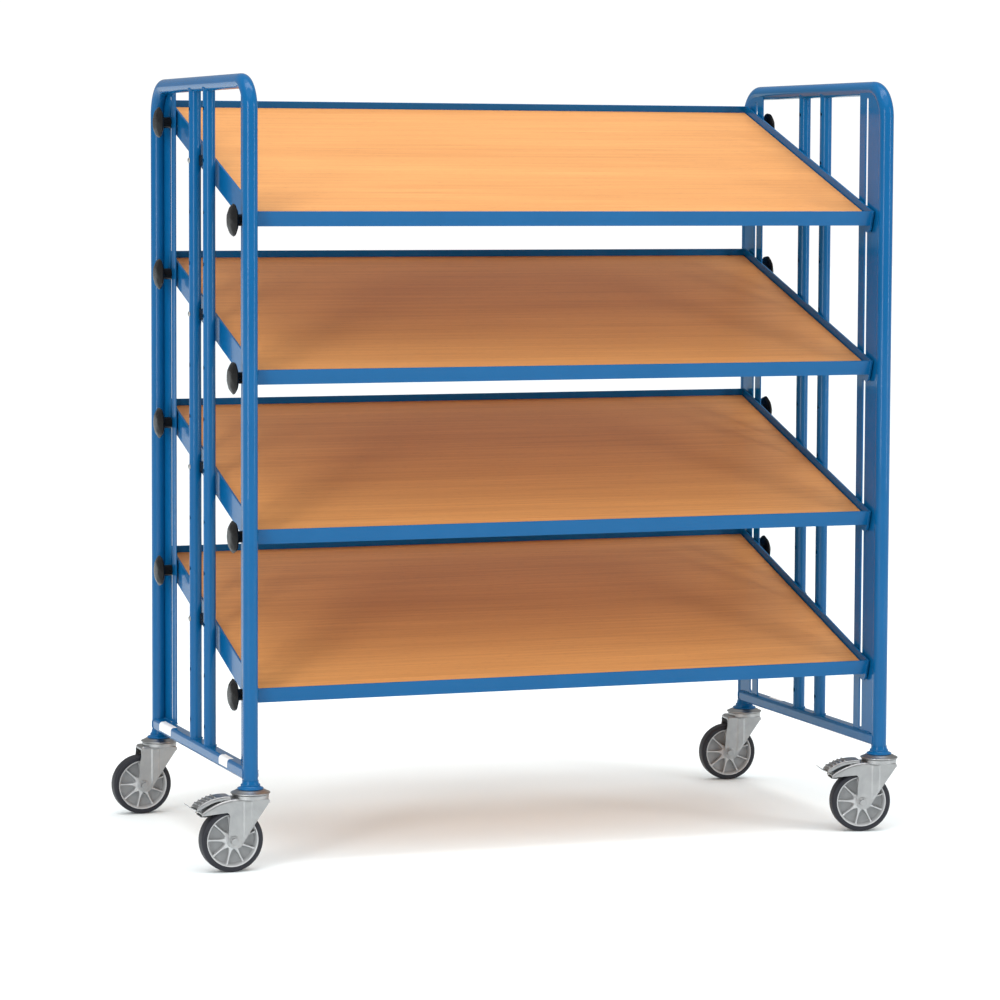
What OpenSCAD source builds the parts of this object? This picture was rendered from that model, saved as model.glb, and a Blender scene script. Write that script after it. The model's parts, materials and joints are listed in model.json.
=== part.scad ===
// Book cart with four tilting shelves between two tubular end frames.
// Millimetres. +X along the cart, +Y to the rear, +Z up, floor at Z = 0.

/* [Frame] */
// Distance between the end frames, tube axis to tube axis
frame_l = 1360; // [900:10:1800]
// Distance between front and rear posts, axis to axis
frame_d = 690; // [450:5:900]
// Height of the handle bars' top above the floor
frame_h = 1554; // [1200:1:1900]
// Outside diameter of the hoop tube
tube_d = 30; // [20:1:50]
// Wall thickness of the hoop tube
tube_wall = 2; // [1:0.5:4]
// Centreline radius of the hoop's bends
bend_r = 60; // [40:5:120]
// Height of the bottom rail's underside
rail_z = 177; // [150:1:260]
// Bottom rail's height
rail_h = 25; // [20:1:50]
// Bottom rail's corner radius
rail_corner = 7; // [2:1:12]

/* [Middle tubes and hole raster] */
// Outside diameter of the middle tubes
mid_d = 25; // [16:1:40]
// Wall thickness of the middle tubes
mid_wall = 1.5; // [1:0.5:3]
// Distance of each middle tube from the frame's centre
mid_y = 53; // [30:1:100]
// Diameter of the raster holes
hole_d = 9; // [6:0.5:14]
// Height of the lowest hole
hole_z = 241; // [220:1:300]
// Pitch of the raster holes
hole_pitch = 104; // [50:1:150]
// Number of holes up each middle tube
hole_count = 13; // [5:1:25]

/* [Slotted rails] */
// Distance of the slot from the frame's centre
slot_y = 280; // [200:1:320]
// Slot width
slot_w = 12; // [8:0.5:16]
// Width of the narrow strip, on the inner side of the slot
strip_in = 28; // [15:1:60]
// Thickness of the slotted rail
strip_t = 3; // [2:0.5:6]
// Distance from the tube's axis to the rail's shelf side face
strip_x = 13; // [8:1:20]
// Slot's lower end above the bottom rail
slot_low = 3; // [2:1:100]
// Slot's upper end below the handle bar
slot_high = 3; // [2:1:100]

/* [Shelves] */
// Forward tilt of each shelf, from the top shelf down
tilts = [19.2, 18.5, 18.5, 18.5];
// Raster rows that carry the shelves, from the top shelf down
shelf_rows = [11, 8, 5, 2];
// Overall length of a shelf
shelf_l = 1326; // [800:1:1700]
// Overall depth of a shelf
shelf_d = 686; // [300:1:800]
// Height of the shelf's top edge above its pivot
shelf_top = 14.5; // [0:0.5:40]
// Height of the side rails
side_h = 50; // [30:1:80]
// Thickness of the side rails
side_t = 4; // [2:0.5:8]
// Radius of the side rails' lower corners
side_corner = 14; // [2:1:20]
// Height of the front and rear rails
edge_h = 30.5; // [20:0.5:60]
// Thickness of the front and rear rails
edge_t = 3; // [2:0.5:6]
// Width of the ledges under the board
ledge_w = 24; // [10:1:40]
// Height of the rim above the board
lip_h = 14; // [4:1:40]
// Board thickness
board_t = 13.5; // [8:0.5:25]
// Gap between the board's ends and the side rails
board_gap = 2.5; // [1:0.5:5]

/* [Pivots and clamps] */
// Diameter of a shelf's pivot stud
stud_d = 10; // [6:1:16]
// Length of a shelf's pivot stud
stud_l = 7.4; // [6:0.2:12]
// Diameter of the pivot boss
boss_d = 16; // [14:1:22]
// Pivot bracket plate's thickness
bracket_t = 3; // [2:0.5:4]
// Height of the pivot bracket
bracket_h = 22; // [18:1:30]
// Distance from the pivot to the bracket's bearing block
bracket_y = 16; // [12:1:24]
// Height of the clamp bolts above the pivot, measured square to the board
clamp_v = -17.5; // [-25:0.5:-15]
// Diameter of the clamp bolts
bolt_d = 10; // [6:1:12]
// Width of the clearance slots in the side rails
side_slot_w = 14.5; // [9:0.5:16]
// Knob's outside diameter
knob_d = 65; // [40:1:80]
// Knob's neck diameter
knob_neck_d = 23; // [16:1:30]
// Knob's overall length
knob_l = 34; // [25:1:50]

/* [Casters] */
// Wheel diameter
wheel_d = 125; // [75:5:200]
// Tyre width
tyre_w = 32; // [20:1:50]
// Radial thickness of the tyre
tyre_t = 10.5; // [5:0.5:20]
// Height from the floor to the underside of the post's collar
caster_h = 160; // [120:1:250]
// Trail of the wheel behind the swivel axis
trail = 40; // [20:1:70]
// Radius of the swivel head
head_r = 39; // [25:1:50]
// Distance between the fork's cheeks
fork_gap = 45; // [36:1:70]
// Thickness of the fork's cheeks
cheek_t = 2.5; // [2:0.5:5]
// Axle bolt diameter
axle_d = 8; // [6:1:12]
// Number of rim spokes
spoke_count = 9; // [5:1:12]
// Swivel angle of the right front caster
swivel_rf = -12; // [-180:1:180]
// Swivel angle of the right rear caster
swivel_rr = -7; // [-180:1:180]

/* [Hidden] */
$fn = 48;
eps = 0.01;
// Width of the joint line between two welded bars
weld_gap = 0.02;
run_fit = 0.05;
post_y = frame_d / 2;
bar_z = frame_h - tube_d / 2;
bend_z = bar_z - bend_r;
post_z = caster_h + 3;
rail_top = rail_z + rail_h;
pivot_z = [for (row = shelf_rows) hole_z + row * hole_pitch];
side_x = shelf_l / 2;
ledge_v = shelf_top - edge_h;
board_v = shelf_top - lip_h - board_t;
strip_out_x = frame_l / 2 - strip_x + strip_t;
boss_x = frame_l / 2 - mid_d / 2;
wheel_r = wheel_d / 2;
cheek_y = fork_gap / 2 + cheek_t;
pedal_reach = 128;
pedal_pivot = [-20, 82];
// Moves the cart so that its outline is centred over the origin
centre_x = (pedal_reach - head_r) / 2;

// Which node to build

// ---------- placing ----------

// Puts one end of the cart at its tube axis; side is -1 left, 1 right, and +X then points outward
module at_end(side) {
    translate([centre_x, 0, 0])
        mirror([side < 0 ? 1 : 0, 0, 0])
            translate([frame_l / 2, 0, 0])
                children();
}

// The same on both ends
module both_ends() {
    for (side = [-1, 1])
        at_end(side)
            children();
}

// A shelf's own frame: X along the pivot, Y up the board, Z square to it
module at_shelf(k) {
    translate([centre_x, 0, pivot_z[k - 1]])
        rotate([tilts[k - 1], 0, 0])
            children();
}

// One corner's swivel axis
module at_caster(side, end, angle) {
    translate([centre_x + side * frame_l / 2, end * post_y, 0])
        rotate([0, 0, angle])
            children();
}

// The wheel's axle line on a caster, with the wheel's axis along Z
module at_axle() {
    translate([-trail, 0, wheel_r])
        rotate([90, 0, 0])
            children();
}

// Height of a clamp bolt in its vertical slot
function clamp_z(k, end) =
    pivot_z[k - 1] + end * slot_y * tan(tilts[k - 1]) + clamp_v / cos(tilts[k - 1]);

// ---------- end frames ----------

module hoop_path(d) {
    for (end = [-1, 1])
        translate([0, end * post_y, post_z])
            cylinder(d = d, h = bend_z - post_z);
    for (end = [0, 1])
        mirror([0, end, 0])
            translate([0, post_y - bend_r, bend_z])
                rotate([90, 0, 90])
                    rotate_extrude(angle = 90)
                        translate([bend_r, 0])
                            circle(d = d);
    translate([0, 0, bar_z])
        rotate([90, 0, 0])
            cylinder(d = d, h = frame_d - 2 * bend_r, center = true);
}

module hoop() {
    difference() {
        hoop_path(tube_d);
        hoop_path(tube_d - 2 * tube_wall);
    }
}

module left_hoop() {
    color([0.11, 0.40, 0.63])
        at_end(-1)
            hoop();
}

module right_hoop() {
    color([0.11, 0.40, 0.63])
        at_end(1)
            hoop();
}

module rail_section(width, height, corner) {
    for (x = [-1, 1])
        for (z = [-1, 1])
            translate([x * (width / 2 - corner), z * (height / 2 - corner)])
                circle(r = corner);
    square([width, height - 2 * corner], center = true);
    square([width - 2 * corner, height], center = true);
}

module bottom_rails() {
    reach = 2 * post_y - 2;
    color([0.11, 0.40, 0.63])
        both_ends()
            difference() {
                translate([0, 0, rail_z + rail_h / 2])
                    rotate([90, 0, 0])
                        linear_extrude(reach, center = true)
                            rail_section(tube_d, rail_h, rail_corner);
                translate([0, 0, rail_z + rail_h / 2])
                    rotate([90, 0, 0])
                        linear_extrude(reach + 2, center = true)
                            rail_section(tube_d - 2 * tube_wall, rail_h - 2 * tube_wall,
                                rail_corner - tube_wall);
                for (end = [-1, 1])
                    translate([0, end * post_y, 0])
                        cylinder(d = tube_d, h = frame_h);
            }
}

module middle_tube() {
    difference() {
        translate([0, 0, rail_top])
            cylinder(d = mid_d, h = bar_z - rail_top - 4);
        translate([0, 0, rail_top - 1])
            cylinder(d = mid_d - 2 * mid_wall, h = bar_z - rail_top);
        rotate([90, 0, 0])
            translate([0, bar_z, 0])
                cylinder(d = tube_d, h = 2 * mid_d, center = true);
        for (row = [0 : hole_count - 1])
            translate([0, 0, hole_z + row * hole_pitch])
                rotate([0, 90, 0])
                    cylinder(d = hole_d, h = 2 * mid_d, center = true);
    }
}

module middle_tubes() {
    color([0.11, 0.40, 0.63])
        both_ends()
            for (end = [-1, 1])
                translate([0, end * mid_y, 0])
                    middle_tube();
}

module slotted_rail() {
    slot_bottom = rail_top + slot_low + slot_w / 2;
    slot_top = frame_h - tube_d - slot_high - slot_w / 2;
    inner_y = slot_y - slot_w / 2 - strip_in;
    difference() {
        translate([-strip_x, inner_y, rail_top])
            cube([strip_t, post_y - 4 - inner_y, bar_z - rail_top]);
        translate([-strip_x - 1, 0, 0])
            rotate([90, 0, 90])
                linear_extrude(strip_t + 2)
                    union() {
                        for (z = [slot_bottom, slot_top])
                            translate([slot_y, z])
                                circle(d = slot_w);
                        translate([slot_y - slot_w / 2, slot_bottom])
                            square([slot_w, slot_top - slot_bottom]);
                    }
        hoop_path(tube_d);
        translate([-tube_d, post_y - bend_r, bend_z])
            difference() {
                cube([2 * tube_d, 2 * bend_r, 2 * bend_r]);
                rotate([0, 90, 0])
                    cylinder(r = bend_r, h = 2 * tube_d);
            }
    }
}

module slotted_rails() {
    color([0.11, 0.40, 0.63])
        both_ends()
            for (end = [0, 1])
                mirror([0, end, 0])
                    slotted_rail();
}

module caster_sockets() {
    color([0.11, 0.40, 0.63])
        for (side = [-1, 1])
            for (end = [-1, 1])
                at_caster(side, end, 0)
                    rotate_extrude()
                        polygon([[6.1, caster_h], [25.7, caster_h], [25.7, post_z],
                            [21, post_z + 3.5], [17.8, post_z + 8], [16.2, rail_z],
                            [tube_d / 2, rail_z], [tube_d / 2, post_z], [6.1, post_z]]);
}

// Outline of a pivot bracket's plate, from the pivot back to the rear middle tube
module bracket_outline() {
    union() {
        for (y = [0, mid_y])
            translate([0, y])
                circle(d = bracket_h);
        translate([-bracket_h / 2, 0])
            square([bracket_h, mid_y]);
    }
}

// Bearing block that hugs the front of the rear middle tube
module bracket_block() {
    block_t = 6.5;
    difference() {
        translate([-eps, bracket_y, -bracket_h / 2])
            cube([block_t, mid_y - 6 - bracket_y, bracket_h]);
        translate([mid_d / 2, mid_y, -bracket_h])
            cylinder(d = mid_d + 2 * run_fit, h = 2 * bracket_h);
    }
}

// A plate beside the side rail, with a boss for the stud and a pin through the rear tube
module pivot_bracket() {
    pin_d = hole_d - 1;
    difference() {
        union() {
            rotate([0, 90, 0])
                translate([0, 0, -bracket_t])
                    linear_extrude(bracket_t)
                        bracket_outline();
            bracket_block();
            rotate([0, 90, 0])
                translate([0, 0, -bracket_t])
                    cylinder(d = boss_d, h = bracket_t + 2.8);
            translate([-eps, mid_y, 0])
                rotate([0, 90, 0])
                    cylinder(d = pin_d, h = mid_d + 2);
        }
        rotate([0, 90, 0])
            translate([0, 0, -bracket_t - 1])
                cylinder(d = stud_d + 2 * run_fit, h = 20);
    }
}

module pivot_brackets() {
    color([0.06, 0.06, 0.07])
        both_ends()
            for (z = pivot_z)
                translate([-mid_d / 2, 0, z])
                    pivot_bracket();
}

// ---------- shelves ----------

module side_rail() {
    low = shelf_top - side_h;
    slot_u = [slot_y - 1.5, slot_y / cos(max(tilts)) + 11];
    difference() {
        rotate([90, 0, 90])
            linear_extrude(side_t)
                union() {
                    translate([-shelf_d / 2, low + side_corner])
                        square([shelf_d, side_h - side_corner]);
                    translate([-shelf_d / 2 + side_corner, low])
                        square([shelf_d - 2 * side_corner, side_corner]);
                    for (end = [-1, 1])
                        translate([end * (shelf_d / 2 - side_corner), low + side_corner])
                            circle(r = side_corner);
                }
        for (end = [-1, 1])
            translate([-1, 0, clamp_v])
                rotate([90, 0, 90])
                    linear_extrude(side_t + 2)
                        union() {
                            for (u = slot_u)
                                translate([end * u, 0])
                                    circle(d = side_slot_w);
                            translate([end * (slot_u[0] + slot_u[1]) / 2, 0])
                                square([slot_u[1] - slot_u[0], side_slot_w], center = true);
                        }
    }
}

// Side rails, studs, front and rear rails and ledges: flat bars that are welded at their joints
module shelf_frame(k) {
    inner_x = side_x - side_t;
    edge_l = 2 * (inner_x - weld_gap);
    side_ledge_l = 500;
    color([0.11, 0.40, 0.63])
        at_shelf(k) {
            for (side = [0, 1])
                mirror([side, 0, 0]) {
                    translate([inner_x, 0, 0])
                        side_rail();
                    translate([inner_x - ledge_w, -side_ledge_l / 2, ledge_v])
                        cube([ledge_w - weld_gap, side_ledge_l, edge_t]);
                    translate([side_x + weld_gap, 0, 0])
                        rotate([0, 90, 0])
                            cylinder(d = stud_d, h = stud_l);
                }
            for (end = [0, 1])
                mirror([0, end, 0]) {
                    translate([-edge_l / 2, shelf_d / 2 - edge_t, ledge_v])
                        cube([edge_l, edge_t, edge_h]);
                    translate([-edge_l / 2, shelf_d / 2 - ledge_w, ledge_v])
                        cube([edge_l, ledge_w - edge_t - weld_gap, edge_t]);
                }
        }
}

module shelf_board(k) {
    board_l = shelf_l - 2 * side_t - 2 * board_gap;
    board_d = shelf_d - 2 * edge_t - 2;
    color([0.80, 0.55, 0.33])
        at_shelf(k)
            translate([-board_l / 2, -board_d / 2, board_v])
                cube([board_l, board_d, board_t]);
}

module shelf_frame_1() { shelf_frame(1); }
module shelf_frame_2() { shelf_frame(2); }
module shelf_frame_3() { shelf_frame(3); }
module shelf_frame_4() { shelf_frame(4); }
module shelf_board_1() { shelf_board(1); }
module shelf_board_2() { shelf_board(2); }
module shelf_board_3() { shelf_board(3); }
module shelf_board_4() { shelf_board(4); }

// ---------- clamps ----------

// Flat head, washer and shank of the clamp bolt at both ends of one shelf edge
module clamp_bolts(k, end) {
    head_x = side_x - side_t - frame_l / 2;
    color([0.75, 0.76, 0.78])
        both_ends()
            translate([head_x, end * slot_y, clamp_z(k, end)])
                rotate([0, 90, 0]) {
                    translate([0, 0, -2.2])
                        cylinder(d = 20, h = 1.9);
                    translate([0, 0, -2.2])
                        cylinder(d = bolt_d, h = 34);
                    translate([0, 0, side_t + 0.4])
                        cylinder(d = 20, h = 3.2);
                }
}

module clamp_bolts_1_front() { clamp_bolts(1, -1); }
module clamp_bolts_1_rear() { clamp_bolts(1, 1); }
module clamp_bolts_2_front() { clamp_bolts(2, -1); }
module clamp_bolts_2_rear() { clamp_bolts(2, 1); }
module clamp_bolts_3_front() { clamp_bolts(3, -1); }
module clamp_bolts_3_rear() { clamp_bolts(3, 1); }
module clamp_bolts_4_front() { clamp_bolts(4, -1); }
module clamp_bolts_4_rear() { clamp_bolts(4, 1); }

// Mushroom clamp knob outside the slotted rail
module knob(k, side, end) {
    rim = knob_d / 2;
    neck = knob_neck_d / 2;
    color([0.05, 0.05, 0.06])
        at_end(side)
            translate([-strip_x + strip_t + 0.5, end * slot_y, clamp_z(k, end)])
                rotate([0, 90, 0])
                    difference() {
                        rotate_extrude()
                            polygon([[0, 0], [neck, 0], [neck, 17], [neck + 3, 19.5], [rim - 5, 20.5],
                                [rim - 1.5, 22], [rim, 24.5], [rim, 26.5], [rim - 2, 29.5],
                                [rim - 8, 31.8], [rim - 18, 33.5], [0, knob_l]]);
                        translate([0, 0, -1])
                            cylinder(d = bolt_d + 2 * run_fit, h = 25);
                    }
}

module knob_1_left_front() { knob(1, -1, -1); }
module knob_1_left_rear() { knob(1, -1, 1); }
module knob_1_right_front() { knob(1, 1, -1); }
module knob_1_right_rear() { knob(1, 1, 1); }
module knob_2_left_front() { knob(2, -1, -1); }
module knob_2_left_rear() { knob(2, -1, 1); }
module knob_2_right_front() { knob(2, 1, -1); }
module knob_2_right_rear() { knob(2, 1, 1); }
module knob_3_left_front() { knob(3, -1, -1); }
module knob_3_left_rear() { knob(3, -1, 1); }
module knob_3_right_front() { knob(3, 1, -1); }
module knob_3_right_rear() { knob(3, 1, 1); }
module knob_4_left_front() { knob(4, -1, -1); }
module knob_4_left_rear() { knob(4, -1, 1); }
module knob_4_right_front() { knob(4, 1, -1); }
module knob_4_right_rear() { knob(4, 1, 1); }

// ---------- casters ----------

// Domed swivel head with its stud in the post and its kingpin through the fork
module caster_heads() {
    under = caster_h - 8;
    color([0.78, 0.79, 0.80])
        for (side = [-1, 1])
            for (end = [-1, 1])
                at_caster(side, end, 0)
                    rotate_extrude()
                        polygon([[0, under - 21], [9, under - 21], [9, under - 13.5],
                            [stud_d / 2, under - 13.5], [stud_d / 2, under], [head_r - 1, under],
                            [head_r, under + 1], [head_r, under + 2.5], [head_r - 6, under + 5.5],
                            [26, caster_h], [6, caster_h], [6, caster_h + 40], [0, caster_h + 40]]);
}

// Side outline of a fork cheek, about the axle
module cheek(braked) {
    crown = caster_h - wheel_r - 19;
    difference() {
        union() {
            circle(r = 13.5);
            polygon([[-13, -3], [-11, 20], [-7, 50], [-3, 66], [2, crown], [70, crown],
                [71, 74], [50, 43], [21, 0], [15, -7], [0, -10]]);
            if (braked) {
                polygon([[2, crown], [-12, 76], [-40, 69], [-60, 59], [-62, 55], [-58, 53],
                    [-30, 56], [-12, 57], [-7, 50]]);
                polygon([[-34, 70.5], [-8, 70], [-14, 86], [-17, 88], [-23, 88], [-27, 86]]);
            }
        }
        circle(d = axle_d + 2 * run_fit);
    }
}

module fork(side, end, angle, braked) {
    crown_z = caster_h - 21;
    color([0.78, 0.79, 0.80])
        at_caster(side, end, angle) {
            rotate_extrude()
                polygon([[stud_d / 2 + run_fit, crown_z], [35, crown_z], [36, crown_z + 7],
                    [36, crown_z + 12.5], [30, crown_z + 12.5], [30, crown_z + 4],
                    [stud_d / 2 + run_fit, crown_z + 4]]);
            at_axle() {
                for (face = [0, 1])
                    mirror([0, 0, face])
                        translate([0, 0, fork_gap / 2])
                            linear_extrude(cheek_t)
                                cheek(braked);
                if (braked) {
                    linear_extrude(fork_gap + 2 * eps, center = true)
                        polygon([[-40, 67], [-12, 74], [2, 76.5], [2, 78.5], [-12, 76], [-40, 69]]);
                    translate([pedal_pivot[0], pedal_pivot[1], 0])
                        cylinder(d = 6, h = fork_gap + 2 * eps, center = true);
                }
            }
        }
}

module axle(side, end, angle) {
    color([0.70, 0.71, 0.73])
        at_caster(side, end, angle)
            at_axle() {
                cylinder(d = axle_d, h = 2 * cheek_y, center = true);
                for (face = [0, 1])
                    mirror([0, 0, face])
                        translate([0, 0, cheek_y - eps])
                            cylinder(r = 7.5, h = 5.5, $fn = 6);
            }
}

module rim(side, end, angle) {
    seat = wheel_r - tyre_t;
    hub = fork_gap / 2 - 1.5;
    color([0.80, 0.81, 0.82])
        at_caster(side, end, angle)
            at_axle() {
                rotate_extrude()
                    polygon([[axle_d / 2 + run_fit, -hub], [12, -hub], [14, -14], [16, -2.5],
                        [seat - 6, -2.5], [seat - 5, -14], [seat, -15.5], [seat, 15.5],
                        [seat - 5, 14], [seat - 6, 2.5], [16, 2.5], [14, 14], [12, hub],
                        [axle_d / 2 + run_fit, hub]]);
                for (n = [0 : spoke_count - 1])
                    rotate([0, 0, 18 + n * 360 / spoke_count])
                        translate([13, -1.5, -11])
                            cube([seat - 18, 3, 22]);
            }
}

module tyre(side, end, angle) {
    seat = wheel_r - tyre_t;
    half = tyre_w / 2;
    color([0.20, 0.20, 0.22])
        at_caster(side, end, angle)
            at_axle()
                rotate_extrude($fn = 72)
                    polygon([[seat, -half], [wheel_r - 4.5, -half], [wheel_r - 1.8, -half + 1.5],
                        [wheel_r - 0.4, -half + 4], [wheel_r, -half + 7.5], [wheel_r, half - 7.5],
                        [wheel_r - 0.4, half - 4], [wheel_r - 1.8, half - 1.5], [wheel_r - 4.5, half],
                        [seat, half]]);
}

// Total-lock pedal over the wheel
module pedal(side, angle) {
    tip = trail - pedal_reach;
    width = fork_gap - 3;
    color([0.74, 0.75, 0.77])
        at_caster(side, -1, angle)
            at_axle()
                difference() {
                    union() {
                        linear_extrude(width, center = true)
                            polygon([[tip, 62], [tip + 2, 66], [-70, 68], [-54, 79], [-34, 88],
                                [-20, 90], [-6, 89], [-6, 86], [-20, 86], [-34, 81],
                                [-52, 73], [-68, 63], [-84, 60]]);
                        translate([pedal_pivot[0], pedal_pivot[1], 0])
                            cylinder(r = 6, h = width, center = true);
                    }
                    translate([pedal_pivot[0], pedal_pivot[1], 0])
                        cylinder(d = 6 + 2 * run_fit, h = width + 2, center = true);
                }
}

module fork_left_front() { fork(-1, -1, 0, true); }
module axle_left_front() { axle(-1, -1, 0); }
module rim_left_front() { rim(-1, -1, 0); }
module tyre_left_front() { tyre(-1, -1, 0); }
module pedal_left_front() { pedal(-1, 0); }
module fork_left_rear() { fork(-1, 1, 0, false); }
module axle_left_rear() { axle(-1, 1, 0); }
module rim_left_rear() { rim(-1, 1, 0); }
module tyre_left_rear() { tyre(-1, 1, 0); }
module fork_right_front() { fork(1, -1, swivel_rf, true); }
module axle_right_front() { axle(1, -1, swivel_rf); }
module rim_right_front() { rim(1, -1, swivel_rf); }
module tyre_right_front() { tyre(1, -1, swivel_rf); }
module pedal_right_front() { pedal(1, swivel_rf); }
module fork_right_rear() { fork(1, 1, swivel_rr, false); }
module axle_right_rear() { axle(1, 1, swivel_rr); }
module rim_right_rear() { rim(1, 1, swivel_rr); }
module tyre_right_rear() { tyre(1, 1, swivel_rr); }

// ---------- build ----------

left_hoop();
right_hoop();
bottom_rails();
middle_tubes();
slotted_rails();
caster_sockets();
caster_heads();
pivot_brackets();
shelf_frame_1();
shelf_frame_2();
shelf_frame_3();
shelf_frame_4();
shelf_board_1();
shelf_board_2();
shelf_board_3();
shelf_board_4();
clamp_bolts_1_front();
clamp_bolts_1_rear();
clamp_bolts_2_front();
clamp_bolts_2_rear();
clamp_bolts_3_front();
clamp_bolts_3_rear();
clamp_bolts_4_front();
clamp_bolts_4_rear();
knob_1_left_front();
knob_1_left_rear();
knob_1_right_front();
knob_1_right_rear();
knob_2_left_front();
knob_2_left_rear();
knob_2_right_front();
knob_2_right_rear();
knob_3_left_front();
knob_3_left_rear();
knob_3_right_front();
knob_3_right_rear();
knob_4_left_front();
knob_4_left_rear();
knob_4_right_front();
knob_4_right_rear();
fork_left_front();
axle_left_front();
rim_left_front();
tyre_left_front();
fork_left_rear();
axle_left_rear();
rim_left_rear();
tyre_left_rear();
fork_right_front();
axle_right_front();
rim_right_front();
tyre_right_front();
fork_right_rear();
axle_right_rear();
rim_right_rear();
tyre_right_rear();
pedal_left_front();
pedal_right_front();
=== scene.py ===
# %% [markdown]
# # A book cart with tilting shelves
# The cart is two end frames of bent blue tube, four shelves that tilt between them, and four
# casters. What is left to Blender is everything that the eye checks: soft edges, weld beads,
# moulded knobs, pressed steel, and finishes that behave like powder coat, decor board, zinc
# and rubber.
#
# Two ways lead there. The solids could be sculpted over by hand, or each could get a short
# function that builds it again from its own sizes. The functions win, because sixteen knobs
# and four casters then come from one description each.

import json
import math

import bmesh
import bpy
from mathutils import Matrix, Vector

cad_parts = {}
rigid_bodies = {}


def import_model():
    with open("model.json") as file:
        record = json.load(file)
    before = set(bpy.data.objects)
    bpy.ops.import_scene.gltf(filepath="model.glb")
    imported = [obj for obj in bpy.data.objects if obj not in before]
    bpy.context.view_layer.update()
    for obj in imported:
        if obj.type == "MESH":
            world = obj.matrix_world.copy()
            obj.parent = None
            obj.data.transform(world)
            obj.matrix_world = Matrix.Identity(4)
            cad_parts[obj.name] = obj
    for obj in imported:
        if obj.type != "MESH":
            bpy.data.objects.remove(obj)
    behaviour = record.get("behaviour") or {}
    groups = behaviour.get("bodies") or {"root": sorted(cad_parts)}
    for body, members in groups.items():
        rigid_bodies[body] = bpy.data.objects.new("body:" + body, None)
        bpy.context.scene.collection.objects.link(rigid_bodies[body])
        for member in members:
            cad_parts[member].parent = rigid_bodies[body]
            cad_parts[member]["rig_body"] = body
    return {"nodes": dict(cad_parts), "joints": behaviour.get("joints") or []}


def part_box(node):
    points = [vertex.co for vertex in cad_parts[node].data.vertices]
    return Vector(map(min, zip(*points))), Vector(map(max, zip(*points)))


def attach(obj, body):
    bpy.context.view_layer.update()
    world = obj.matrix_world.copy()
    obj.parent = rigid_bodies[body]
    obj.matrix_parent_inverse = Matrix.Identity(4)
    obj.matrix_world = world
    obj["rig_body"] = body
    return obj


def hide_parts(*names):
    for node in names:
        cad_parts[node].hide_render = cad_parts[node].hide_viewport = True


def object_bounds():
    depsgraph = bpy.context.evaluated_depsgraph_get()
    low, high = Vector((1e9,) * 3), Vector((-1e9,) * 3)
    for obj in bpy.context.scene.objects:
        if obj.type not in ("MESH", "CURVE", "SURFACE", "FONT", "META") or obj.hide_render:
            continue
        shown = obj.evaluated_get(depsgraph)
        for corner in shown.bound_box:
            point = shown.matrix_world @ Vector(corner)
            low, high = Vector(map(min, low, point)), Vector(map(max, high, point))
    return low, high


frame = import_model()
cad_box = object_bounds()
cad_low, cad_high = cad_box
MM = 0.001
print("cart:", [round(v, 3) for v in cad_high - cad_low], "m,", len(frame["nodes"]), "solids")

# %% [markdown]
# ## Camera
# A catalogue picture of furniture is taken from far away with a long lens, so that parallel
# posts stay nearly parallel. The camera could be aimed with a Track To constraint, but a
# constraint hides the real angles. Three plain turns are easier to read and to change: the
# heading, the tilt down and a slight roll. A small lens shift sets the cart's height in
# the picture without tilting the camera any further.

# %% Camera
def make_camera(place, heading, tilt, roll, lens, shift_y):
    """A camera that looks along +Y at heading 0; angles in degrees, heading towards +X."""
    data = bpy.data.cameras.new("catalogue camera")
    data.lens = lens
    data.sensor_width = 36
    data.shift_y = shift_y
    data.clip_end = 200
    camera = bpy.data.objects.new("catalogue camera", data)
    turn = Matrix.Rotation(math.radians(-heading), 4, "Z")
    lift = Matrix.Rotation(math.radians(90 + tilt), 4, "X")
    spin = Matrix.Rotation(math.radians(roll), 4, "Z")
    camera.matrix_world = Matrix.Translation(place) @ turn @ lift @ spin
    bpy.context.scene.collection.objects.link(camera)
    bpy.context.scene.camera = camera
    return camera


camera = make_camera((-2.640, -7.206, 1.373), heading=20.176, tilt=-4.227, roll=0.251,
                     lens=132.63, shift_y=-0.060)
print("camera", round((camera.location - (cad_low + cad_high) / 2).length, 2), "m from the cart")

# %% [markdown]
# ## Floor and light
# The cart stands on a pale studio floor. A bent backdrop would stand in the way of any view
# from behind, so the floor is one wide plane, and the world behind it is the same white. A
# Light Path node shows that white to the camera only: everything else is lit by a dimmer grey,
# and what the paint mirrors is darker still, or its colour would drown in white.
#
# Gloss paint shows its lights as streaks. Two tall soft boxes beside the cart draw the long
# highlights down the posts, and one overhead draws those along the handle bars.

# %% Floor
def make_floor(size):
    """A wide square floor at Z = 0."""
    mesh = bpy.data.meshes.new("studio floor")
    half = size / 2
    mesh.from_pydata([(-half, -half, 0), (half, -half, 0), (half, half, 0), (-half, half, 0)],
                     [], [(0, 1, 2, 3)])
    floor = bpy.data.objects.new("studio floor", mesh)
    bpy.context.scene.collection.objects.link(floor)
    paper = bpy.data.materials.new("floor paper")
    paper.use_nodes = True
    shader = paper.node_tree.nodes["Principled BSDF"]
    shader.inputs["Base Color"].default_value = (0.89, 0.94, 0.95, 1)
    shader.inputs["Roughness"].default_value = 0.7
    shader.inputs["Specular IOR Level"].default_value = 0.2
    mesh.materials.append(paper)
    return floor


SKY_TINT = (0.98, 0.985, 0.98, 1)


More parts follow.
